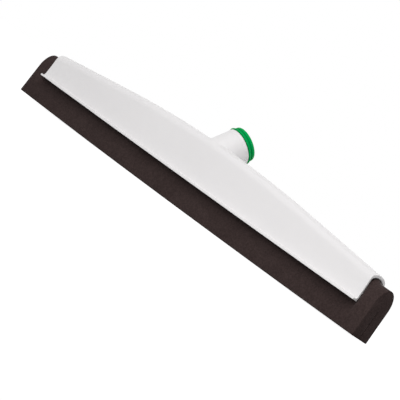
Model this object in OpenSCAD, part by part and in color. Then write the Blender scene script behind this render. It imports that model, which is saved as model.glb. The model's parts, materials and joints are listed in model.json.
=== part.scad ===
// Floor squeegee head: a white arched frame, a folded foam blade pinched in its channel and a
// threaded insert in its handle socket. X runs along the blade, +Y is the back and Z is up.
// The blade stands on z = 0, and the slit between its two plies lies in the plane y = 0.

/* [Blade] */
// Length of the foam blade
blade_len = 559; // [420:1:780]
// Height of the blade, from the floor to the top of its fold
blade_h = 51.5; // [44:0.5:56]
// Thickness of each ply below the channel
ply_t = 10.2; // [7.5:0.05:11]
// Width of the slit between the plies
slit_w = 1.4; // [1.1:0.1:2.2]
// Height of the slit's closed end above the floor
slit_h = 29; // [27:0.2:36]
// Thickness of the folded head where the channel pinches it
head_t = 17.7; // [15:0.1:20]
// Depth of the hollow in the head that each ply's round root turns in
seat_depth = 1.1; // [0.6:0.1:1.8]

/* [Frame] */
// Length of the frame along its lower edge
frame_len = 524; // [400:1:740]
// Height of the frame's lower edge above the floor
flange_z = 26; // [22:0.5:30]
// Thickness of the channel's walls
wall_t = 2.2; // [1.6:0.1:3.2]
// Thickness of the roof over the channel
roof_t = 3; // [1.6:0.1:4]
// Free height between the fold and the roof at the open ends
end_gap = 1.5; // [1:0.1:8]
// Height that the crest gains from the ends to the middle
crest_rise = 15; // [6:0.2:24]
// Half length of the curved middle of the crest, which runs out in straight flanks
crown_half = 150; // [60:1:190]
// Radius of the roof across the frame
roof_r = 16; // [13.5:0.5:40]
// Backward slant of the open ends
end_rake = 3; // [0:0.5:8]

/* [Flange] */
// Reach of the flange beyond the wall
flange_w = 3.6; // [2:0.1:6]
// Thickness of the flange
flange_t = 1.9; // [1.2:0.1:3]
// Reach of the hollow fillet between the flange and the wall
flange_fillet = 1.2; // [0.8:0.1:3.5]

/* [Grip ridges] */
// Height of the ridges that hold the blade
grip_h = 0.45; // [0.2:0.05:0.8]
// Width of a ridge at its root
grip_w = 2.2; // [1:0.1:3]
// Distance from one ridge to the next
grip_pitch = 3.6; // [3.2:0.1:5]
// Number of ridges on each wall
grip_n = 3; // [1:1:3]
// Height of the lowest ridge above the frame's lower edge
grip_start = 4; // [2:0.2:6]

/* [Cross ribs] */
// Thickness of the ribs that stop the blade
rib_t = 1.8; // [1.2:0.1:3]
// Distance from one rib to the next
rib_pitch = 52; // [30:1:90]
// Least distance from a rib to the open end
rib_margin = 40; // [20:1:80]
// Depth that the ribs reach down beside the fold
rib_drop = 4; // [2:0.2:6]

/* [Socket] */
// Lean of the socket from the vertical
lean = 40.3; // [25:0.1:50]
// Height above the fold at which the socket's axis crosses the plane of the blade
axis_rise = 1.4; // [1:0.1:8]
// Length of the neck along its axis, from that crossing to the rim
neck_len = 35.1; // [31:0.1:48]
// Radius of the socket's bore
bore_r = 13.9; // [11.5:0.1:15]
// Depth of the bore from the rim
bore_depth = 30; // [22:0.5:31]
// Thickness of the neck's wall
neck_wall = 3.4; // [2:0.1:4]
// Thickness of the floor under the bore
floor_t = 2.2; // [1.6:0.1:3]
// Width of the bead round the rim
bead_w = 1.8; // [1.2:0.1:3]
// Height of the bead above the neck
bead_h = 0.45; // [0.2:0.05:0.6]
// Distance from the rim to the bead
bead_drop = 0.3; // [0.2:0.05:1]
// Number of keys that stop the insert turning
key_n = 4; // [2:1:6]
// Width of a key
key_w = 2.4; // [1.6:0.1:4]
// Height of a key
key_h = 1; // [0.6:0.1:1.4]

/* [Insert] */
// Length of the collar above the rim
collar_len = 7; // [5:0.1:14]
// Radius of the collar
collar_r = 16.9; // [15.2:0.05:18]
// Reach of the lip at the collar's foot beyond the collar
lip_w = 1.4; // [0.2:0.05:2]
// Thickness of that lip
lip_t = 1.3; // [0.8:0.1:2]
// Height of the groove above the collar's foot
groove_at = 3.2; // [2.6:0.1:4.6]
// Radius of the groove's round section
groove_r = 0.5; // [0.3:0.05:0.9]
// Radius of the threaded bore at the crests of its thread
thread_r = 7; // [5.5:0.1:9]
// Depth of the cone that leads the handle into the thread
lead_in = 2.6; // [1:0.1:4]

/* [Fits] */
// Gap between the blade's head and the grip ridges
side_gap = 0.3; // [0.2:0.05:0.6]
// Gap between the fold and the ribs that stop it
top_gap = 0.3; // [0.2:0.05:0.6]
// Gap between the plies and the frame's lower edge
ply_gap = 0.4; // [0.3:0.05:0.8]
// Gap between a ply's round root and its hollow in the head
seat_gap = 0.3; // [0.2:0.05:0.6]
// Gap round the insert's sleeve, its keys and its end
sleeve_gap = 0.3; // [0.1:0.05:0.5]
// Gap between the collar and the rim
rim_gap = 0.1; // [0.05:0.05:0.3]

/* [Hidden] */
$fn = 96;
crown_fn = 1440;
white = [0.90, 0.90, 0.91];
green = [0.02, 0.58, 0.29];
foam = [0.19, 0.16, 0.155];

// Overlap that joins one solid to the next, and reach of cuts past a surface
join = 0.5;
past = 5;

// Centre of the fillet as a share of its reach, and round of the flange's edge as a share of its thickness
fillet_ease = 1.4;
edge_share = 0.6;

// Turn of the crest's flanks against its arc, so that they lap
lap_turn = 0.2;

// Height of a grip ridge at its lower edge
grip_foot = 0.1;

// Turn of the first key about the socket's axis
key_turn = 45;

// Blade
head_half = head_t / 2;
fold_z = blade_h - head_half;
ply_half = ply_t / 2;
ply_y = slit_w / 2 + ply_half;
flex_z = flange_z - ply_gap - ply_half;
head_z = flex_z + ply_half + seat_gap - seat_depth;

// Frame
channel_y = head_half + side_gap + grip_h;
wall_y = channel_y + wall_t;
half_len = frame_len / 2;
crest_z = blade_h + end_gap + roof_t + crest_rise;
flank_half = half_len - crown_half;
crown_r = crown_half * (half_len - crown_half / 2) / (crest_rise + flank_half * tan(lap_turn));
crown_a = asin(crown_half / crown_r);
lap_a = asin(past / crown_r);
flank_len = flank_half + past;
leg = crest_z - flange_z + past;
fillet = min(flange_fillet, flange_w - flange_t / 2);
fillet_centre = fillet_ease * fillet;
edge_r = edge_share * flange_t;
stop_z = blade_h - rib_drop;
rib_n = floor((half_len - rib_margin) / rib_pitch);
end_lean = tan(end_rake) * leg;

// Socket and insert
axis_z = blade_h + axis_rise;
neck_r = bore_r + neck_wall;
bore_end = neck_len - bore_depth;
sleeve_r = bore_r - sleeve_gap;
collar_at = neck_len + rim_gap;

// Draws a flat outline in Y and Z, drawn out along X
module along_x(length) {
    rotate([90, 0, 90])
        linear_extrude(length, center = true)
            children();
}

// Draws a flat outline in X and Z, drawn out along Y
module along_y(length) {
    rotate([90, 0, 0])
        linear_extrude(length, center = true)
            children();
}

// Stands its children on the socket's axis, s from the crossing with the blade's plane
module on_socket(s) {
    translate([0, 0, axis_z])
        rotate([-lean, 0, 0])
            translate([0, 0, s])
                children();
}

// One straight flank of the crest, on the +X side
module flank() {
    rotate([0, crown_a, 0])
        translate([0, 0, crown_r])
            rotate([0, -lap_turn, 0])
                rotate([90, 0, 90])
                    translate([0, 0, -past])
                        linear_extrude(flank_len + past)
                            children();
}

// Sweeps a cross-section along the crest line: a wide arc with a straight flank at each end
module along_crest() {
    translate([0, 0, crest_z - crown_r]) {
        rotate([90, 0, 0])
            rotate([0, 0, 90 - crown_a - lap_a])
                rotate_extrude(angle = 2 * (crown_a + lap_a), $fn = crown_fn)
                    translate([crown_r, 0])
                        rotate(-90)
                            children();
        flank()
            children();
        mirror([1, 0, 0])
            flank()
                children();
    }
}

// Cross-section of what lies under the crest line: a round roof, moved in, and straight sides below it
module roof_section(inset) {
    r = roof_r - inset;
    translate([0, -roof_r])
        circle(r);
    translate([-r, -leg - roof_r])
        square([2 * r, leg]);
}

// Room under the roof, moved in, between two flat sides at a distance from the middle
module under_crest(half, inset) {
    intersection() {
        along_crest()
            roof_section(inset);
        translate([-frame_len, -half, flange_z - leg])
            cube([2 * frame_len, 2 * half, 3 * leg]);
    }
}

// Room that the frame takes up seen from the front, with its slanting ends
module side_view() {
    polygon([
        [-half_len, flange_z],
        [half_len, flange_z],
        [half_len - end_lean, flange_z + leg],
        [end_lean - half_len, flange_z + leg],
    ]);
}

// Cross-section of the flange on the back wall, with a round edge and a hollow fillet
module flange_section() {
    intersection() {
        translate([wall_y - join, flange_z])
            square([flange_w + join, flange_t]);
        translate([wall_y + flange_w - edge_r, flange_z + flange_t / 2]) {
            circle(edge_r);
            translate([-flange_w - join, -edge_r])
                square([flange_w + join, 2 * edge_r]);
        }
    }
    translate([wall_y, flange_z + flange_t])
        difference() {
            translate([-join, -join])
                square(fillet + join);
            translate([fillet_centre, fillet_centre])
                circle(norm([fillet_centre, fillet_centre - fillet]));
        }
}

// Cross-section of the grip ridges on the back wall, flat on top so that the foam can't drop out
module grip_section() {
    for (i = [0 : grip_n - 1])
        translate([channel_y, flange_z + grip_start + i * grip_pitch])
            polygon([[wall_t / 2, 0], [-grip_foot, 0], [-grip_h, grip_w], [wall_t / 2, grip_w]]);
}

// Room kept free for the fold and for whatever lies below the ribs
module blade_room() {
    half = channel_y + wall_t / 4;
    along_x(frame_len + 2 * past) {
        translate([0, fold_z])
            circle(head_half + top_gap);
        translate([-half, flange_z - past])
            square([2 * half, stop_z - flange_z + past]);
    }
}

// Ribs across the inside of the roof
module ribs() {
    intersection() {
        for (i = [1 : rib_n], side = [-1, 1])
            translate([side * i * rib_pitch, 0, stop_z + leg / 2])
                cube([rib_t, 2 * channel_y + wall_t, leg], center = true);
        under_crest(channel_y + wall_t / 2, roof_t / 2);
    }
}

// Neck of the socket with its bead, floored under the bore and run down into the back wall
module neck() {
    on_socket(bore_end - floor_t)
        cylinder(r = neck_r, h = bore_depth + floor_t);
    on_socket(neck_len - bead_drop - bead_w / 2)
        rotate_extrude()
            translate([neck_r + bead_h - bead_w / 2, 0])
                circle(bead_w / 2);
    intersection() {
        on_socket(-leg)
            cylinder(r = neck_r, h = leg + bore_end);
        translate([-2 * neck_r, channel_y + wall_t / 2, flange_z + flange_t])
            cube([4 * neck_r, leg, leg]);
    }
}

// Bore of the socket with its keyways
module socket_bore() {
    on_socket(bore_end) {
        cylinder(r = bore_r, h = bore_depth + past);
        keys(bore_r, key_w + 2 * sleeve_gap, key_h + sleeve_gap, bore_depth + past);
    }
}

// Keys that stand out of a round of radius r
module keys(r, width, height, length) {
    for (i = [0 : key_n - 1])
        rotate(i * 360 / key_n + key_turn)
            translate([r - join, -width / 2, 0])
                cube([height + join, width, length]);
}

module frame() {
    color(white)
        difference() {
            union() {
                intersection() {
                    difference() {
                        under_crest(wall_y, 0);
                        under_crest(channel_y, roof_t);
                    }
                    along_y(4 * wall_y)
                        side_view();
                }
                intersection() {
                    along_x(frame_len)
                        for (side = [0, 1])
                            mirror([side, 0]) {
                                flange_section();
                                grip_section();
                            }
                    along_y(4 * wall_y)
                        side_view();
                }
                difference() {
                    union() {
                        ribs();
                        neck();
                    }
                    blade_room();
                }
            }
            socket_bore();
        }
}

module thread_insert() {
    sleeve_len = bore_depth - sleeve_gap + rim_gap;
    color(green)
        difference() {
            union() {
                on_socket(bore_end + sleeve_gap) {
                    cylinder(r = sleeve_r, h = sleeve_len + collar_len);
                    keys(sleeve_r, key_w, key_h, sleeve_len - sleeve_gap);
                }
                on_socket(collar_at) {
                    cylinder(r = collar_r, h = collar_len);
                    cylinder(r = collar_r + lip_w, h = lip_t);
                }
            }
            on_socket(bore_end)
                cylinder(r = thread_r, h = bore_depth + rim_gap + collar_len + past);
            on_socket(collar_at + collar_len - lead_in)
                cylinder(r1 = thread_r, r2 = thread_r + lead_in + join, h = lead_in + join);
            on_socket(collar_at + groove_at)
                rotate_extrude()
                    translate([collar_r, 0])
                        circle(groove_r);
        }
}

module blade_head() {
    color(foam)
        along_x(blade_len)
            difference() {
                union() {
                    translate([0, fold_z])
                        circle(head_half);
                    translate([-head_half, head_z])
                        square([head_t, fold_z - head_z]);
                }
                translate([-slit_w / 2, head_z - past])
                    square([slit_w, slit_h - slit_w / 2 - head_z + past]);
                translate([0, slit_h - slit_w / 2])
                    circle(slit_w / 2);
                for (side = [-1, 1])
                    translate([side * ply_y, flex_z])
                        circle(ply_half + seat_gap);
            }
}

// One ply, with a round root about the line that it bends on
module ply(side) {
    color(foam)
        along_x(blade_len)
            translate([side * ply_y, 0]) {
                translate([0, flex_z])
                    circle(ply_half);
                translate([-ply_half, 0])
                    square([ply_t, flex_z]);
            }
}

module front_ply() {
    ply(-1);
}

module rear_ply() {
    ply(1);
}

frame();
thread_insert();
blade_head();
front_ply();
rear_ply();
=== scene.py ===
"""Looks of a floor squeegee head: white moulded frame, folded foam blade, green threaded insert.

Sizes are in millimetres in the frame of the solids: X along the blade, +Y to the back and Z up.
The frame's surface is the zero level of a field that is given by formulas and meshed on a grid.
A field is negative inside its shape and grows by about 1 with each millimetre outwards.
"""

import json
import math

import bmesh
import bpy
import numpy as np
from mathutils import Matrix, Vector


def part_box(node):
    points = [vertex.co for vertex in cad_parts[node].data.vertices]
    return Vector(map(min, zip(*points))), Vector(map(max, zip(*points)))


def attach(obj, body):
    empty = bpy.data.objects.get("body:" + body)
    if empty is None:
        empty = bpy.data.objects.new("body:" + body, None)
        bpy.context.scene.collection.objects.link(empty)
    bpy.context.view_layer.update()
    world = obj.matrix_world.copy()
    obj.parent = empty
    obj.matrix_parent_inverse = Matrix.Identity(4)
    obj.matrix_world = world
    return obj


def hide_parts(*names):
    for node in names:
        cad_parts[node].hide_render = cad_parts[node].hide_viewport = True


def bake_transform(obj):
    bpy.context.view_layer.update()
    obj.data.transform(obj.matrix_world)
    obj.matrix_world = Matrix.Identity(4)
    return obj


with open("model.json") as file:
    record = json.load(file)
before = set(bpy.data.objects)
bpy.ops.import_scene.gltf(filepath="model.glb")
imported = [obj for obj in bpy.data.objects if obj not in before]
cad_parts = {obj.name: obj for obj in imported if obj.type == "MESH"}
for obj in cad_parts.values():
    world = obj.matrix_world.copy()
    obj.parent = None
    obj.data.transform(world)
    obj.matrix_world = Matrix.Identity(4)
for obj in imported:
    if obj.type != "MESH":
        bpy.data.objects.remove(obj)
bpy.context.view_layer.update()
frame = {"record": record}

MM = 0.001
TURN = 2 * math.pi
TINY = 1e-9


def node_box(node):
    """Lowest and highest corner of a node at rest, in millimetres."""
    low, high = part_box(node)
    return np.array(low) / MM, np.array(high) / MM


def mount_line(name):
    """Place and direction of a mount, in millimetres."""
    mount = next(m for m in frame["record"]["mounts"] if m["name"] == name)
    return np.array(mount["pos_m"]) / MM, np.array(mount["axis"])


frame_low, frame_high = node_box("frame")
head_high = node_box("blade_head")[1]
ply_low = node_box("front_ply")[0]
mouth, socket_axis = mount_line("handle_thread")

# Frame: its ends, walls and lower edge
HALF_LEN = frame_high[0]
BASE_Z = frame_low[2]
FLANGE_Y = -frame_low[1]
FLANGE_W = 4.0
FLANGE_T = 1.9
FLANGE_FILLET = 1.8
FLANGE_EDGE = 0.6
LOWER_EDGE = 0.15
BASE_BOW = 0.7  # drop of the lower edge from its ends to its middle
BOW_LEVEL = 0.55  # share of that drop that lies below the solids' lower edge
WALL_T = 1.8
ROOF_T = 3.0
WALL_Y = FLANGE_Y - FLANGE_W
CHANNEL_Y = WALL_Y - WALL_T
LEAN_TOP = 41.0  # height at which the walls' inward lean ends
LEAN_OUT = 0.8
LEAN_IN = 1.2
END_RAKE = math.radians(3)
END_SHIFT = 0.7  # of both end faces towards +X, as in the photo
EDGE_R = 0.45

# Frame: the crest line, an arc that runs out in straight flanks, and the round roof under it
CREST_Z = 71.0
CREST_RISE = 15.0
CROWN_HALF = 150.0
CROWN_R = CROWN_HALF * (HALF_LEN - CROWN_HALF / 2) / CREST_RISE
FLANK_SLOPE = CROWN_HALF / math.sqrt(CROWN_R**2 - CROWN_HALF**2)
FLANK_COS = 1 / math.hypot(1, FLANK_SLOPE)
ROOF_R = 16.0
SHOULDER_R = 3.0

# Frame: ridges and ribs inside the channel
GRIP_H = 0.45
GRIP_W = 2.2
GRIP_PITCH = 3.6
GRIP_N = 3
GRIP_Z = BASE_Z + 4
RIB_T = 1.8
RIB_PITCH = 52.0
RIB_N = 4
RIB_FOOT = 47.5
STOP_GAP = 0.3  # between the ribs and the fold of the blade that they stop

# Frame: runs of grid planes, each with its start, its end and its greatest step. X is mirrored.
GRID_X = ((0, 22.5, 0.9), (22.5, 36, 1.7), (36, 246, 7), (246, 257, 1.8), (257, 263.5, 0.45))
GRID_Y = ((-16.6, -8, 0.51), (-8, 8, 0.8), (8, 16.6, 0.51), (16.6, 37, 0.8))
GRID_Z = ((24.6, 29.4, 0.32), (29.4, 42.6, 0.6), (42.6, 48, 0.9), (48, 73.7, 0.69), (73.7, 93, 0.8))
RIB_PLANES = (-1.5, -0.6, 0.6, 1.5)  # from the middle of each rib

# Frame: how the points of the grid's mesh are moved on to the surface
SETTLE_ROUNDS = 4
SETTLE_LIMIT = 0.3  # greatest move in a round
SETTLE_REACH = 0.01  # over which the slope is measured for a move
STEEP_LEAST = 0.2  # least squared slope that a move is divided by
NORMAL_REACH = 0.12  # over which the slope is measured for the normals

# Blade: its section in the channel, and how it swells at its free ends
BLADE_HALF = head_high[0]
HEAD_HALF = head_high[1]
FOLD_TOP = head_high[2]
FOLD_Z = FOLD_TOP - HEAD_HALF
PLY_OUT = -ply_low[1]
SLIT_HALF = 0.2
SLIT_TOP = 29.0
FOOT_OUT_R = 0.9
FOOT_IN_R = 0.5
FLANK_DROP = 1.0  # from the fold's round to the first point of the flank
FLANK_FOOT = 0.6  # from the last point of the flank to the round of the foot
HEAD_PINCH = 1.1  # taken off the half width in the channel
PINCH_Z = 24.9  # the plies widen from here down
SPREAD_Z = 12.0  # and have their full width from here down
HEAD_BULGE = 1.9  # added to the half width outside the channel
FOLD_BULGE = 9.0  # added to the height of the fold's round there
BULGE_REACH = 3.0  # of the change, to both sides of the frame's end
BULGE_GAP = 0.15  # kept to the outside of the walls, as the blade slides through
BULGE_SLOPE = 0.1  # widening that is allowed below the walls

# Blade: how it lies along its length, and its cut ends
BLADE_RUNS = ((0, 250, 12.5), (250, 270, 1.25))
END_STEP = 2.0
CUT_R = 0.6
CUT_TURNS = (18, 36, 54, 72, 90)
CUT_SLANT = 4.4  # of the left end, from its foot to its top
BLADE_SHIFT = 1.5  # towards +X, as in the photo
LEFT_LIFT = 1.9  # of the lower edge at the left end
RIGHT_LIFT = 1.25
LEFT_RELAX = 0.4  # of the fold at the left end, downwards
RIGHT_RELAX = 1.1
FOLD_SQUEEZE = 1.1  # of the fold in the frame's ends, upwards
SQUEEZE_FROM = 225.0
WAVES = ((0.12, 41.0, 1), (0.08, 17.3, 2))  # height, length for a radian, and phase
FOAM_SHARP = math.radians(50)

# Socket, with s along its axis from the crossing with the blade's plane
AXIS_Y, AXIS_UP = socket_axis[1], socket_axis[2]
AXIS_Z = mouth[2] - AXIS_UP * mouth[1] / AXIS_Y
NECK_LEN = 34.6
NECK_R = 17.3
NECK_FOOT = 2.9  # underside of the floor that closes the bore
NECK_FILLET = 1.6
NECK_FRONT = WALL_Y - LEAN_OUT - NECK_FILLET  # the neck ends here, behind the front wall
NECK_FRONT_R = 2.0
RIM_R = 0.5
INNER_R = 0.5  # of the corners between the roof, the ribs and that floor
BORE_R = 13.9
BORE_END = 5.1
BEAD_R = 0.9
BEAD_H = 0.45
BEAD_DROP = 0.3
KEY_N = 4
KEY_STEP = TURN / KEY_N
KEY_TURN = math.radians(45)
KEY_W = 2.4
KEY_H = 1.0
KEYWAY_R = 0.6
SLEEVE_GAP = 0.3

# Insert: its sleeve with keys, and its collar with lip and groove
SLEEVE_R = BORE_R - SLEEVE_GAP
SLEEVE_FROM = BORE_END + SLEEVE_GAP
FOOT_INSET = 1.2
FOOT_BEVEL = 0.8
FOOT_BEVEL_LEN = 1.0
COLLAR_GAP = 0.1
COLLAR_AT = NECK_LEN + COLLAR_GAP
COLLAR_LEN = 7.4
COLLAR_R = 16.9
COLLAR_EDGE = 1.3
INSERT_TOP = COLLAR_AT + COLLAR_LEN
KEYS_FROM = SLEEVE_FROM + FOOT_BEVEL_LEN
KEYS_TO = COLLAR_AT - SLEEVE_GAP - COLLAR_GAP
LIP_W = 1.4
LIP_T = 1.3
LIP_SEAT = 1.7  # inset of the seat under the lip from the collar
LIP_GAP = 0.5  # between that seat and the lip
SEAT_FLARE = 0.1
LIP_FOOT_W = 0.05
LIP_FOOT_LOW = 0.02
LIP_FOOT_HIGH = 0.3
GROOVE_AT = 3.7  # from the foot of the collar
GROOVE_DEPTH = 1.1
GROOVE_HALF = 0.6
MOUTH_RIM = 1.2  # from the cone of the mouth to the flat of the rim
MOUTH_EDGE = 0.4
INSERT_SIDES = 120
KEY_CLEAR = 0.012  # angle about a key's edge that is kept free of other points
KEY_EDGE = 0.002  # half the angle over which a key rises
INSERT_SHARP = math.radians(35)
WELD_DIST = 0.004
FLAT_DIST = 0.002

# Insert: its thread of 3/4 in and 5 turns to the inch
THREAD_CREST_R = 7.0
THREAD_ROOT_R = 9.53
THREAD_PITCH = 5.08
THREAD_FLANK = math.radians(14.5)
THREAD_STEP = 0.16
CREST_SHARE = 0.37  # of the pitch
LEAD_IN = 2.6  # widening of the cone at the mouth
CONE_OUT = 0.6  # more of it at the very ends of the bore
MOUTH_DROP = 0.2  # from the rim to the highest ring

# Materials: the colour and roughness of each, and the ranges over which its nodes vary them
WHITE = (0.80, 0.80, 0.81)
WHITE_RANGE = (0.778, 0.762, 0.767), (0.808, 0.792, 0.794)
GREEN = (0.0, 0.35, 0.08)
GREEN_RANGE = (0.0, 0.335, 0.076), (0.0, 0.365, 0.086)
GREEN_SPECULAR = 0.03
PLASTIC_ROUGH = 0.42
ROUGH_RANGE = (0.36, 0.48)
FOAM = (0.041, 0.028, 0.027)
FOAM_RANGE = (0.0400, 0.0266, 0.0252), (0.0482, 0.0325, 0.0308)
FOAM_ROUGH = 0.88
FOAM_SPECULAR = 0.05
FOAM_SHEEN = 0.06
FOAM_SHEEN_ROUGH = 0.4
CELL_SCALE = 1500  # cells in a metre
SPECKLE_RANGE = (0.72, 0.72, 0.72), (1.2, 1.2, 1.2)
# Painted shade of the frame's lip on the foam: towards the lip, the foam's colour is multiplied by
# this grey
LIP_SHADE_GREY = (0.62, 0.62, 0.62)
LIP_SHADE_FROM = 9.0  # height from which the painted shade of the lip darkens the foam
HELD_TO = HALF_LEN - 8  # the darkening fades along X from here
FREE_FROM = HALF_LEN + 2  # to here
RAMP_ENDS = (0.3, 0.7)  # shares of a noise between which its colour changes

# Floor, world and lights, with the place and power of each light
FLOOR_HALF = 40000.0
FLOOR_BOUNCE = 0.55  # grey of the floor as it lights the object
FLOOR_SHADE = 0.3  # grey of the floor as it is seen, which takes the shadow
FLOOR_GLOW = 0.9  # light added to that
WORLD_LIGHT = 0.44
LIGHT_SIZE = 900.0
LIGHT_AIM = (0, 0, 45)
LIGHTS = {
    "key": ((330, -1130, 450), 8.8),
    "right": ((1150, -250, 200), 0.6),
    "back": ((0, 1150, 600), 8.5),
    "over": ((0, -100, 1250), 2.5),
}

# Camera: its turn about the object, its roll, and the point that it looks at
CAMERA_YAW = math.radians(47.03)
CAMERA_PITCH = math.radians(0.24)
CAMERA_ROLL = math.radians(35.0)
CAMERA_DISTANCE = 2083.0
CAMERA_CENTRE = (0.0, 0.0, 42.6)
CAMERA_AIM = (-1.59, -29.3)
CAMERA_LENS = 200.3
CAMERA_SENSOR = 36.0
CAMERA_FAR = 200000.0


def round_max(a, b, r):
    """Greater of two fields, which keeps what lies in both, with their edge rounded to r."""
    return np.minimum(np.maximum(a, b), -r) + np.hypot(np.maximum(a + r, 0), np.maximum(b + r, 0))


def round_min(a, b, r):
    """Lesser of two fields, which joins them, with a hollow fillet of r where they meet."""
    return np.maximum(np.minimum(a, b), r) - np.hypot(np.maximum(r - a, 0), np.maximum(r - b, 0))


def smooth_step(t):
    """Eased run from 0 to 1."""
    t = np.clip(t, 0, 1)
    return t * t * (3 - 2 * t)


def planes(*runs):
    """Places along one axis: each run has its start, its end and its greatest step."""
    places = [np.linspace(a, b, math.ceil((b - a) / step), endpoint=False) for a, b, step in runs]
    return np.concatenate([*places, [runs[-1][1]]])


def mirrored(half):
    """Places to both sides of 0, from those on one side with 0 first."""
    return np.concatenate([-half[:0:-1], half])


def arc(centre, radius, start, end, count):
    """Points on an arc in a plane, from one angle in degrees to another."""
    turn = np.radians(np.linspace(start, end, count))
    return np.stack([centre[0] + radius * np.cos(turn), centre[1] + radius * np.sin(turn)], 1)


def line(a, b, count):
    """Points on a straight run, without its two ends."""
    share = np.linspace(0, 1, count + 2)[1:-1, None]
    return np.array(a) * (1 - share) + np.array(b) * share


def turn_from_key(angle):
    """Angle about the socket's axis from the middle of the nearest key."""
    return np.mod(angle - KEY_TURN + KEY_STEP / 2, KEY_STEP) - KEY_STEP / 2


def new_piece(name, points, faces, material, normals=None):
    """Makes a smooth mesh piece from points in millimetres."""
    mesh = bpy.data.meshes.new(name)
    mesh.from_pydata((np.asarray(points) * MM).tolist(), [], [list(map(int, f)) for f in faces])
    mesh.validate()
    mesh.polygons.foreach_set("use_smooth", [True] * len(mesh.polygons))
    if normals is not None:
        mesh.normals_split_custom_set_from_vertices(normals.tolist())
    mesh.materials.append(material)
    piece = bpy.data.objects.new(name, mesh)
    bpy.context.scene.collection.objects.link(piece)
    return piece


def ring_faces(rings, size, closed):
    """Faces between rings of equal size, with the last ring joined to the first if closed."""
    ring = np.arange(size)
    faces = []
    for k in range(rings if closed else rings - 1):
        here, there = k * size + ring, (k + 1) % rings * size + ring
        faces.append(np.stack([here, np.roll(here, -1), np.roll(there, -1), there], 1))
    return np.concatenate(faces)


def weld(piece):
    """Joins points that lie on each other, and drops the faces that this leaves without area."""
    made = bmesh.new()
    made.from_mesh(piece.data)
    bmesh.ops.remove_doubles(made, verts=made.verts, dist=WELD_DIST * MM)
    bmesh.ops.dissolve_degenerate(made, edges=made.edges, dist=FLAT_DIST * MM)
    bmesh.ops.recalc_face_normals(made, faces=made.faces)
    made.to_mesh(piece.data)
    made.free()


def crest(x):
    """Height of the crest line at x."""
    far = np.abs(x)
    bow = np.sqrt(CROWN_R**2 - np.minimum(far, CROWN_HALF) ** 2)
    return CREST_Z - CROWN_R + bow - FLANK_SLOPE * np.maximum(far - CROWN_HALF, 0)


def crest_section(side, rise, leg, roof_inset, shoulder):
    """Field of the section under the crest: two legs, at leg from the middle, under a round roof."""
    roof = np.hypot(side, np.maximum(rise + ROOF_R, 0)) - (ROOF_R - roof_inset)
    return round_max(side - leg, roof, shoulder)


def lean(z):
    """Share of the walls' inward lean at z: it grows from the lower edge and ends at LEAN_TOP."""
    return 1 - np.clip((LEAN_TOP - z) / (LEAN_TOP - BASE_Z), 0, 1) ** 2


def grip(z):
    """Height of the grip ridges on the channel's walls at z."""
    up = z - GRIP_Z
    step = np.floor(up / GRIP_PITCH)
    share = (up - step * GRIP_PITCH) / GRIP_W
    on = (step >= 0) & (step < GRIP_N) & (share < 1)
    return np.where(on, GRIP_H * share, 0)


def socket_places(x, y, z):
    """Place along the socket's axis, and the two places across it."""
    up = z - AXIS_Z
    return y * AXIS_Y + up * AXIS_UP, x, y * AXIS_UP - up * AXIS_Y


def outer_field(x, y, z):
    """Field of the frame's outside: the roofed body and its two flanges."""
    side = np.abs(y)
    base = BASE_Z + BASE_BOW * ((x / HALF_LEN) ** 2 - BOW_LEVEL)
    leg = WALL_Y - LEAN_OUT * lean(z)
    body = crest_section(side, (z - crest(x)) * FLANK_COS, leg, 0, SHOULDER_R)
    flange = round_max(side - FLANGE_Y, z - base - FLANGE_T, FLANGE_EDGE)
    body = round_min(body, flange, FLANGE_FILLET)
    body = round_max(body, base - z, LOWER_EDGE)
    ends = (np.abs(x - END_SHIFT) - HALF_LEN + (z - base) * math.tan(END_RAKE)) * math.cos(END_RAKE)
    return round_max(body, ends, EDGE_R)


def bore_field(s, radius, angle):
    """Field of the socket's bore with its keyways."""
    turn = turn_from_key(angle)
    key_side = np.abs(radius * np.sin(turn)) - KEY_W / 2 - SLEEVE_GAP
    key = round_max(radius * np.cos(turn) - (BORE_R + KEY_H + SLEEVE_GAP), key_side, KEYWAY_R)
    return np.maximum(np.minimum(radius - BORE_R, key), BORE_END - s)


def neck_fields(x, y, z):
    """Fields of the whole neck with its bead, of its part above its floor, and of its bore."""
    s, across, through = socket_places(x, y, z)
    radius = np.hypot(across, through)
    above = np.maximum(radius - NECK_R, NECK_FOOT - s)
    neck = np.minimum(above, np.maximum(radius - NECK_R, CHANNEL_Y - y))
    neck = round_max(neck, s - NECK_LEN, RIM_R)
    neck = round_max(neck, -y - NECK_FRONT, NECK_FRONT_R)
    bead_s = NECK_LEN - BEAD_DROP - BEAD_R
    bead = np.hypot(radius - (NECK_R + BEAD_H - BEAD_R), s - bead_s) - BEAD_R
    return round_min(neck, bead, RIM_R), above, bore_field(s, radius, np.arctan2(through, across))


def hollow_field(x, y, z, keep):
    """Field of the channel: the room under the roof, less ribs and keep, which end at the blade."""
    side = np.abs(y) + grip(z)
    leg = CHANNEL_Y - LEAN_IN * lean(z)
    under_roof = crest_section(side, (z - crest(x)) * FLANK_COS, leg, ROOF_T, SHOULDER_R - WALL_T)
    index = np.clip(np.round(np.abs(x) / RIB_PITCH), 1, RIB_N)
    rib = np.abs(np.abs(x) - index * RIB_PITCH) - RIB_T / 2
    fold = np.hypot(y, z - FOLD_Z) - (HEAD_HALF + STOP_GAP)
    blade_room = np.minimum(fold, z - RIB_FOOT)
    return round_max(under_roof, np.minimum(-np.minimum(keep, rib), blade_room), INNER_R)


def frame_field(x, y, z):
    """Field of the whole frame."""
    neck, above, bore = neck_fields(x, y, z)
    body = round_min(outer_field(x, y, z), neck, NECK_FILLET)
    body = round_max(body, -hollow_field(x, y, z, above), EDGE_R)
    return round_max(body, -bore, EDGE_R)


def frame_grid():
    """Planes of the frame's grid, close together where its surface turns."""
    ribs = [n * RIB_PITCH + off for n in range(1, RIB_N + 1) for off in RIB_PLANES]
    half = np.unique(np.concatenate([planes(*GRID_X), ribs]))
    return mirrored(half), planes(*GRID_Y), planes(*GRID_Z)


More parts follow.
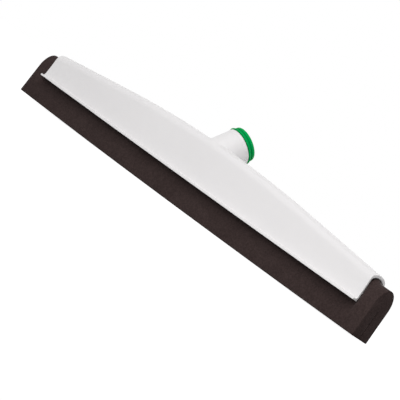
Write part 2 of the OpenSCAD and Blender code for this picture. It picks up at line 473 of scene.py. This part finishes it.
def edge_crossings(values, grid, axis):
    """Where the grid's edges along an axis cross the zero level, with the four cells about each.

    Returns the crossing points, the numbers of those cells in turning order, and which edges lead
    into the shape.
    """
    cells = np.array(values.shape) - 1
    low = np.take(values, range(cells[axis]), axis)
    high = np.take(values, range(1, cells[axis] + 1), axis)
    index = np.array(np.nonzero((low < 0) != (high < 0)))
    a, b = low[tuple(index)], high[tuple(index)]
    point = np.array([grid[k][index[k]] for k in range(3)])
    point[axis] += a / (a - b) * (grid[axis][index[axis] + 1] - point[axis])
    corners = []
    for du, dv in ((1, 1), (0, 1), (0, 0), (1, 0)):
        cell = index.copy()
        cell[(axis + 1) % 3] -= du
        cell[(axis + 2) % 3] -= dv
        corners.append(np.ravel_multi_index(cell, cells))
    return point, corners, a > 0


def surface_net(field, grid):
    """Points and four-sided faces of the zero level of a field on a grid of planes."""
    values = field(*np.meshgrid(*grid, indexing="ij"))
    cell_count = (np.array(values.shape) - 1).prod()
    total = np.zeros((cell_count, 3))
    count = np.zeros(cell_count)
    faces = []
    for axis in range(3):
        point, corners, turned = edge_crossings(values, grid, axis)
        for corner in corners:
            count += np.bincount(corner, minlength=cell_count)
            for k in range(3):
                total[:, k] += np.bincount(corner, point[k], minlength=cell_count)
        face = np.array(corners).T
        face[turned] = face[turned, ::-1]
        faces.append(face)
    used = np.nonzero(count)[0]
    number = np.full(cell_count, -1)
    number[used] = np.arange(len(used))
    return total[used] / count[used, None], number[np.concatenate(faces)]


def field_slope(field, points, reach):
    """Value and gradient of a field at points, measured over reach to each side."""
    slope = np.empty_like(points)
    for k in range(3):
        step = np.zeros(3)
        step[k] = reach
        slope[:, k] = (field(*(points + step).T) - field(*(points - step).T)) / (2 * reach)
    return field(*points.T), slope


def settle(field, points):
    """Moves points on to the zero level of a field. Returns them and the outward normals there."""
    for _ in range(SETTLE_ROUNDS):
        value, slope = field_slope(field, points, SETTLE_REACH)
        steep = np.maximum((slope**2).sum(1), STEEP_LEAST)
        move = -(value / steep)[:, None] * slope
        length = np.maximum(np.linalg.norm(move, axis=1), TINY)
        points = points + move * np.minimum(1, SETTLE_LIMIT / length)[:, None]
    normal = field_slope(field, points, NORMAL_REACH)[1]
    return points, normal / np.maximum(np.linalg.norm(normal, axis=1), TINY)[:, None]


def make_frame(material):
    """The moulded frame."""
    points, faces = surface_net(frame_field, frame_grid())
    points, normals = settle(frame_field, points)
    piece = new_piece("moulded_frame", points, faces, material, normals)
    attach(piece, "frame")
    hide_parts("frame")


def half_section(bulge):
    """Outline of half the blade: out from its middle plane, and up. Bulge is 1 at the free ends."""
    head = HEAD_HALF - HEAD_PINCH * (1 - bulge) + HEAD_BULGE * bulge
    rise = HEAD_HALF + FOLD_BULGE * bulge
    fold_z = FOLD_TOP - rise
    fold = arc((0, 0), 1, 90, 0, count=18) * (head, rise) + (0, fold_z)
    up = np.linspace(fold_z - FLANK_DROP, FOOT_OUT_R + FLANK_FOOT, num=34)
    spread = smooth_step((PINCH_Z - up) / (PINCH_Z - SPREAD_Z))
    free = head + (PLY_OUT - head) * (fold_z - up) / fold_z
    under_lip = head + (PLY_OUT - head) * spread
    flank = np.stack([under_lip + (free - under_lip) * bulge, up], 1)
    toe = arc((PLY_OUT - FOOT_OUT_R, FOOT_OUT_R), FOOT_OUT_R, 0, -90, count=6)
    heel = arc((SLIT_HALF + FOOT_IN_R, FOOT_IN_R), FOOT_IN_R, -90, -180, count=5)
    slit = line(heel[-1], (SLIT_HALF, SLIT_TOP - SLIT_HALF), count=26)
    crotch = arc((0, SLIT_TOP - SLIT_HALF), SLIT_HALF, 0, 90, count=6)
    return np.concatenate([fold, flank, toe, heel, slit, crotch])


def drawn_in(outline, depth):
    """An outline with both ends on the middle plane, given clockwise, moved inwards by depth."""
    along = np.gradient(outline, axis=0)
    along[[0, -1], 1] = 0
    along /= np.linalg.norm(along, axis=1)[:, None]
    return outline + depth * np.stack([along[:, 1], -along[:, 0]], 1)


def slide_room(z):
    """Widest half of the blade at z that stays within the frame's walls as the blade slides."""
    return WALL_Y - LEAN_OUT * lean(z) - BULGE_GAP + BULGE_SLOPE * np.maximum(BASE_Z - z, 0)


def blade_stations():
    """Places of the blade's sections along X, and how far each is drawn in at the rounded ends."""
    run = planes(*BLADE_RUNS, (BLADE_RUNS[-1][1], BLADE_HALF - CUT_R, END_STEP))
    turn = np.radians(CUT_TURNS)
    places = np.concatenate([run, BLADE_HALF - CUT_R + CUT_R * np.sin(turn)])
    depths = np.concatenate([np.zeros(len(run)), CUT_R * (1 - np.cos(turn))])
    return mirrored(places), np.concatenate([depths[:0:-1], depths])


def blade_ring(x, depth, side):
    """Points of a section of half the blade, drawn in by depth. Side is -1 in front, 1 behind."""
    bulge = float(smooth_step((abs(x) - HALF_LEN + BULGE_REACH) / (2 * BULGE_REACH)))
    out, up = drawn_in(half_section(bulge), depth).T
    high = up / FOLD_TOP
    wave = sum(height * np.sin(x / length + turn * side) for height, length, turn in WAVES)
    out = out + wave * (1 - high) * (out > SLIT_HALF + FOOT_IN_R)
    out = np.minimum(out, slide_room(up))
    lift = (LEFT_LIFT if x < 0 else RIGHT_LIFT) * (x / BLADE_HALF) ** 2
    squeeze = FOLD_SQUEEZE * smooth_step((abs(x) - SQUEEZE_FROM) / (HALF_LEN - SQUEEZE_FROM))
    relax = LEFT_RELAX if x < 0 else RIGHT_RELAX
    top = squeeze * (1 - bulge) - relax * bulge
    slant = CUT_SLANT * smooth_step((-x - HALF_LEN) / (BLADE_HALF - HALF_LEN))
    along = x + BLADE_SHIFT + slant * (high - 0.5)
    return np.stack([along, side * out, up + lift * (1 - high) + top * high**3], 1)


def blade_half(name, side, material):
    """One half of the folded foam strip. Side is -1 in front, 1 behind."""
    rings = [blade_ring(x, depth, side) for x, depth in zip(*blade_stations())]
    size = len(rings[0])
    ring = np.arange(size)
    ends = [ring[::-1], (len(rings) - 1) * size + ring]
    faces = [*ring_faces(len(rings), size, closed=False), *ends]
    if side > 0:
        faces = [face[::-1] for face in faces]
    piece = new_piece(name, np.concatenate(rings), faces, material)
    piece.data.set_sharp_from_angle(angle=FOAM_SHARP)
    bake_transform(piece)
    return piece


def on_axis(radius, turns, s):
    """Points at a radius and a turn about the socket's axis, s along it."""
    across, through = radius * np.cos(turns), radius * np.sin(turns)
    back = s * AXIS_Y + through * AXIS_UP
    up = AXIS_Z + s * AXIS_UP - through * AXIS_Y
    return np.stack([across, back, up], 1)


def insert_outside():
    """Outline of the insert's outside from foot to mouth, as radius and place along the axis."""
    seat_r = COLLAR_R - LIP_SEAT
    lip_at = COLLAR_AT + LIP_GAP
    lip_top = lip_at + LIP_T
    lip_edge = LIP_T / 2
    lip_centre = (COLLAR_R + LIP_W - lip_edge, lip_at + lip_edge)
    edge_centre = (COLLAR_R - COLLAR_EDGE, INSERT_TOP - COLLAR_EDGE)
    mouth_centre = (THREAD_CREST_R + LEAD_IN + MOUTH_RIM, INSERT_TOP - MOUTH_EDGE)
    groove = arc((0, 0), 1, 270, 90, count=9) * (GROOVE_DEPTH, GROOVE_HALF)
    runs = [
        [(SLEEVE_R - FOOT_INSET, SLEEVE_FROM), (SLEEVE_R - FOOT_BEVEL, SLEEVE_FROM)],
        [(SLEEVE_R, KEYS_FROM), (SLEEVE_R, KEYS_TO), (SLEEVE_R, COLLAR_AT)],
        [(seat_r, COLLAR_AT), (seat_r + SEAT_FLARE, lip_at)],
        arc(lip_centre, lip_edge, -90, 80, count=9),
        [(COLLAR_R + LIP_FOOT_W, lip_top + LIP_FOOT_LOW), (COLLAR_R, lip_top + LIP_FOOT_HIGH)],
        groove + (COLLAR_R, COLLAR_AT + GROOVE_AT),
        arc(edge_centre, COLLAR_EDGE, 0, 90, count=7),
        arc(mouth_centre, MOUTH_EDGE, 90, 150, count=4),
    ]
    return np.concatenate([np.array(run, float) for run in runs])


def insert_angles():
    """Angles round the insert, with close pairs where its keys rise, and which are on a key."""
    half = math.asin(KEY_W / 2 / SLEEVE_R)
    even = np.linspace(0, TURN, INSERT_SIDES, endpoint=False)
    kept = even[np.abs(np.abs(turn_from_key(even)) - half) > KEY_CLEAR]
    middles = KEY_TURN + np.arange(KEY_N) * KEY_STEP
    edges = [sign * (half + gap) for sign in (-1, 1) for gap in (-KEY_EDGE, KEY_EDGE)]
    pairs = [middle + edge for middle in middles for edge in edges]
    turns = np.sort(np.concatenate([kept, np.mod(pairs, TURN)]))
    return turns, np.abs(turn_from_key(turns)) < half


def outside_rings(turns, keyed):
    """Rings of the insert's keyed outside, each as its radii and its places along the axis."""
    rings = []
    for radius, s in insert_outside():
        raised = keyed & (KEYS_FROM <= s <= KEYS_TO)
        rings.append((np.where(raised, radius + KEY_H, radius), np.full(len(turns), s)))
    return rings


def thread_radius(turns):
    """Radius of the threaded wall at a place counted in turns of its thread."""
    phase = np.abs(np.mod(turns, 1) - 0.5) * 2
    depth = THREAD_ROOT_R - THREAD_CREST_R
    flank = 2 * depth * math.tan(THREAD_FLANK) / THREAD_PITCH
    return THREAD_CREST_R + depth * np.clip((phase - CREST_SHARE) / flank, 0, 1)


def thread_rings(turns):
    """Rings of the threaded bore from mouth to foot. Each climbs by a pitch as it goes round."""
    share = turns / TURN
    rings = []
    for s in np.arange(INSERT_TOP + THREAD_PITCH, SLEEVE_FROM - THREAD_PITCH, -THREAD_STEP):
        place = np.clip(s + THREAD_PITCH * (share - 0.5), SLEEVE_FROM, INSERT_TOP - MOUTH_DROP)
        wall = thread_radius(place / THREAD_PITCH - share)
        mouth_cone = THREAD_CREST_R + LEAD_IN + CONE_OUT - (INSERT_TOP - place)
        foot_cone = THREAD_ROOT_R + CONE_OUT - (place - SLEEVE_FROM)
        rings.append((np.maximum(wall, np.maximum(mouth_cone, foot_cone)), place))
    return rings


def make_insert(material):
    """The threaded insert: a keyed sleeve with a grooved collar and a trapezoidal thread inside."""
    turns, keyed = insert_angles()
    rings = outside_rings(turns, keyed) + thread_rings(turns)
    points = np.concatenate([on_axis(radius, turns, s) for radius, s in rings])
    faces = ring_faces(len(rings), len(turns), closed=True)
    piece = new_piece("handle_insert", points, faces, material)
    weld(piece)
    piece.data.set_sharp_from_angle(angle=INSERT_SHARP)
    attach(piece, "insert")
    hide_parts("thread_insert")


def new_material(name, colour, roughness):
    """A material with its nodes, its shader and the object's own coordinates."""
    material = bpy.data.materials.new(name)
    material.use_nodes = True
    tree = material.node_tree
    shader = tree.nodes["Principled BSDF"]
    shader.inputs["Base Color"].default_value = (*colour, 1)
    shader.inputs["Roughness"].default_value = roughness
    place = tree.nodes.new("ShaderNodeTexCoord")
    return material, tree, shader, place.outputs["Object"]


def noise(tree, place, scale, detail, stretch=(1, 1, 1)):
    """A noise texture, with features of about one over scale metres."""
    mapping = tree.nodes.new("ShaderNodeMapping")
    mapping.inputs["Scale"].default_value = stretch
    texture = tree.nodes.new("ShaderNodeTexNoise")
    texture.inputs["Scale"].default_value = scale
    texture.inputs["Detail"].default_value = detail
    tree.links.new(place, mapping.inputs["Vector"])
    tree.links.new(mapping.outputs["Vector"], texture.inputs["Vector"])
    return texture.outputs["Fac"]


def between(tree, share, low, high):
    """A colour that runs from low to high with a share."""
    ramp = tree.nodes.new("ShaderNodeValToRGB")
    for element, position, colour in zip(ramp.color_ramp.elements, RAMP_ENDS, (low, high)):
        element.position = position
        element.color = (*colour, 1)
    tree.links.new(share, ramp.inputs["Fac"])
    return ramp.outputs["Color"]


def ranged(tree, value, start, end, low, high, ease="LINEAR"):
    """A number that goes from low to high while a value goes from start to end."""
    node = tree.nodes.new("ShaderNodeMapRange")
    node.interpolation_type = ease
    for name, number in (("From Min", start), ("From Max", end), ("To Min", low), ("To Max", high)):
        node.inputs[name].default_value = number
    tree.links.new(value, node.inputs["Value"])
    return node.outputs["Result"]


def computed(tree, operation, *values):
    """The result of an operation on one or two numbers."""
    node = tree.nodes.new("ShaderNodeMath")
    node.operation = operation
    for value, socket in zip(values, node.inputs):
        tree.links.new(value, socket)
    return node.outputs[0]


def multiplier(tree, colour):
    """A node that multiplies a colour by its input B, as far as its input Factor says."""
    node = tree.nodes.new("ShaderNodeMix")
    node.data_type = "RGBA"
    node.blend_type = "MULTIPLY"
    tree.links.new(colour, node.inputs["A"])
    return node


def bump(tree, height, strength, depth, below=None):
    """A bump of that depth in millimetres, on top of another one if given."""
    node = tree.nodes.new("ShaderNodeBump")
    node.inputs["Strength"].default_value = strength
    node.inputs["Distance"].default_value = depth * MM
    tree.links.new(height, node.inputs["Height"])
    if below is not None:
        tree.links.new(below, node.inputs["Normal"])
    return node.outputs["Normal"]


def white_plastic():
    """Satin moulded polypropylene, with faint flow marks along the moulding and a fine skin."""
    material, tree, shader, place = new_material("white_plastic", WHITE, PLASTIC_ROUGH)
    flow = noise(tree, place, scale=14, detail=3, stretch=(0.35, 1, 1))
    skin = noise(tree, place, scale=2600, detail=2)
    sink = noise(tree, place, scale=45, detail=2)
    tree.links.new(between(tree, flow, *WHITE_RANGE), shader.inputs["Base Color"])
    tree.links.new(ranged(tree, flow, 0, 1, *ROUGH_RANGE), shader.inputs["Roughness"])
    wide = bump(tree, sink, strength=0.12, depth=0.25)
    tree.links.new(bump(tree, skin, strength=0.12, depth=0.03, below=wide), shader.inputs["Normal"])
    return material


def painted_lip_shade(tree, place, colour):
    """A colour with painted shade of the frame's lip: it darkens up towards the frame, but not at
    the blade's ends.
    """
    parts = tree.nodes.new("ShaderNodeSeparateXYZ")
    tree.links.new(place, parts.inputs["Vector"])
    rise = ranged(tree, parts.outputs["Z"], LIP_SHADE_FROM * MM, BASE_Z * MM, 0, 1, "SMOOTHSTEP")
    away = computed(tree, "ABSOLUTE", parts.outputs["X"])
    under_lip = ranged(tree, away, HELD_TO * MM, FREE_FROM * MM, 1, 0, "SMOOTHSTEP")
    mix = multiplier(tree, colour)
    tree.links.new(computed(tree, "MULTIPLY", rise, under_lip), mix.inputs["Factor"])
    mix.inputs["B"].default_value = (*LIP_SHADE_GREY, 1)
    return mix.outputs["Result"]


def foam_rubber():
    """Matt closed-cell foam: fine cells as bumps, a speckled grain and a soft mottle."""
    material, tree, shader, place = new_material("foam_rubber", FOAM, FOAM_ROUGH)
    shader.inputs["Specular IOR Level"].default_value = FOAM_SPECULAR
    shader.inputs["Sheen Weight"].default_value = FOAM_SHEEN
    shader.inputs["Sheen Roughness"].default_value = FOAM_SHEEN_ROUGH
    cells = tree.nodes.new("ShaderNodeTexVoronoi")
    cells.inputs["Scale"].default_value = CELL_SCALE
    tree.links.new(place, cells.inputs["Vector"])
    grain = noise(tree, place, scale=700, detail=4)
    mottle = between(tree, noise(tree, place, scale=60, detail=4), *FOAM_RANGE)
    mix = multiplier(tree, mottle)
    mix.inputs["Factor"].default_value = 1
    tree.links.new(between(tree, grain, *SPECKLE_RANGE), mix.inputs["B"])
    # Painted shade: the foam darkens up towards the frame's lip, where the lip's shadow falls
    tree.links.new(painted_lip_shade(tree, place, mix.outputs["Result"]), shader.inputs["Base Color"])
    pores = bump(tree, cells.outputs["Distance"], strength=0.35, depth=0.25)
    tree.links.new(bump(tree, grain, strength=0.3, depth=0.2, below=pores), shader.inputs["Normal"])
    return material


def green_plastic():
    """Smooth moulded green plastic, with a faint flow and a fine skin."""
    material, tree, shader, place = new_material("green_plastic", GREEN, PLASTIC_ROUGH)
    shader.inputs["Specular IOR Level"].default_value = GREEN_SPECULAR
    flow = noise(tree, place, scale=120, detail=3)
    skin = noise(tree, place, scale=3000, detail=2)
    tree.links.new(between(tree, flow, *GREEN_RANGE), shader.inputs["Base Color"])
    tree.links.new(ranged(tree, flow, 0, 1, *ROUGH_RANGE), shader.inputs["Roughness"])
    tree.links.new(bump(tree, skin, strength=0.1, depth=0.02), shader.inputs["Normal"])
    return material


def seen_directly(tree):
    """1 for rays from the camera and for those mirrored or refracted on their way, else 0."""
    path = tree.nodes.new("ShaderNodeLightPath")
    seen = path.outputs["Is Camera Ray"]
    for other in ("Is Glossy Ray", "Is Transmission Ray"):
        seen = computed(tree, "MAXIMUM", seen, path.outputs[other])
    return seen


def show_either(tree, lit, seen, out):
    """Shows the shader seen to the rays that see it directly, and the shader lit to all others."""
    mix = tree.nodes.new("ShaderNodeMixShader")
    for value, socket in zip((seen_directly(tree), lit.outputs[0], seen.outputs[0]), mix.inputs):
        tree.links.new(value, socket)
    tree.links.new(mix.outputs[0], out.inputs["Surface"])


def diffuse(tree, grey):
    """A matt shader of a grey."""
    node = tree.nodes.new("ShaderNodeBsdfDiffuse")
    node.inputs["Color"].default_value = (grey, grey, grey, 1)
    return node


def make_floor():
    """A pale floor that looks white and keeps a soft shadow."""
    material = bpy.data.materials.new("floor")
    material.use_nodes = True
    tree = material.node_tree
    tree.nodes.remove(tree.nodes["Principled BSDF"])
    glow = tree.nodes.new("ShaderNodeEmission")
    glow.inputs["Strength"].default_value = FLOOR_GLOW
    both = tree.nodes.new("ShaderNodeAddShader")
    tree.links.new(diffuse(tree, FLOOR_SHADE).outputs[0], both.inputs[0])
    tree.links.new(glow.outputs[0], both.inputs[1])
    show_either(tree, diffuse(tree, FLOOR_BOUNCE), both, tree.nodes["Material Output"])
    half = FLOOR_HALF
    corners = [(-half, -half, 0), (half, -half, 0), (half, half, 0), (-half, half, 0)]
    floor = new_piece("floor", corners, [(0, 1, 2, 3)], material)


def make_world():
    """Even light from all round, seen as white."""
    world = bpy.data.worlds.new("studio")
    world.use_nodes = True
    tree = world.node_tree
    light = tree.nodes["Background"]
    light.inputs["Strength"].default_value = WORLD_LIGHT
    white = tree.nodes.new("ShaderNodeBackground")
    for background in (light, white):
        background.inputs["Color"].default_value = (1, 1, 1, 1)
    show_either(tree, light, white, tree.nodes["World Output"])
    bpy.context.scene.world = world


def make_lights():
    """Large soft lights: a key in front, one behind, and faint ones on the right and overhead."""
    for name, (place, power) in LIGHTS.items():
        data = bpy.data.lights.new(name, "AREA")
        data.size = LIGHT_SIZE * MM
        data.energy = power
        light = bpy.data.objects.new(name, data)
        light.location = Vector(place) * MM
        aim = Vector(LIGHT_AIM) - Vector(place)
        light.rotation_euler = aim.to_track_quat("-Z", "Y").to_euler()
        bpy.context.scene.collection.objects.link(light)


def camera_turn():
    """The camera's right, up and back directions and its place, in millimetres."""
    yaw, pitch, roll = CAMERA_YAW, CAMERA_PITCH, CAMERA_ROLL
    flat = math.cos(pitch)
    back = Vector((math.sin(yaw) * flat, -math.cos(yaw) * flat, math.sin(pitch)))
    level = Vector((math.cos(yaw), math.sin(yaw), 0))
    upright = back.cross(level)
    right = math.cos(roll) * level + math.sin(roll) * upright
    up = math.cos(roll) * upright - math.sin(roll) * level
    centre = Vector(CAMERA_CENTRE)
    aim = centre + CAMERA_AIM[0] * right + CAMERA_AIM[1] * up
    place = centre + CAMERA_DISTANCE * back
    back = (place - aim).normalized()
    right = up.cross(back).normalized()
    return right, back.cross(right), back, place


def make_camera():
    """A level camera in front, to the right, rolled about its line of sight."""
    right, up, back, place = camera_turn()
    data = bpy.data.cameras.new("camera")
    data.lens = CAMERA_LENS
    data.sensor_width = CAMERA_SENSOR
    data.clip_end = CAMERA_FAR * MM
    camera = bpy.data.objects.new("camera", data)
    turn = Matrix((right, up, back)).transposed().to_4x4()
    camera.matrix_world = Matrix.Translation(place * MM) @ turn
    bpy.context.scene.collection.objects.link(camera)
    bpy.context.scene.camera = camera


bpy.context.scene.view_settings.view_transform = "Standard"
foam = foam_rubber()
make_frame(white_plastic())
front = blade_half("blade_front", -1, foam)
rear = blade_half("blade_rear", 1, foam)
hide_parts("front_ply", "blade_head")
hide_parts("rear_ply")
make_insert(green_plastic())
make_floor()
make_world()
make_lights()
make_camera()
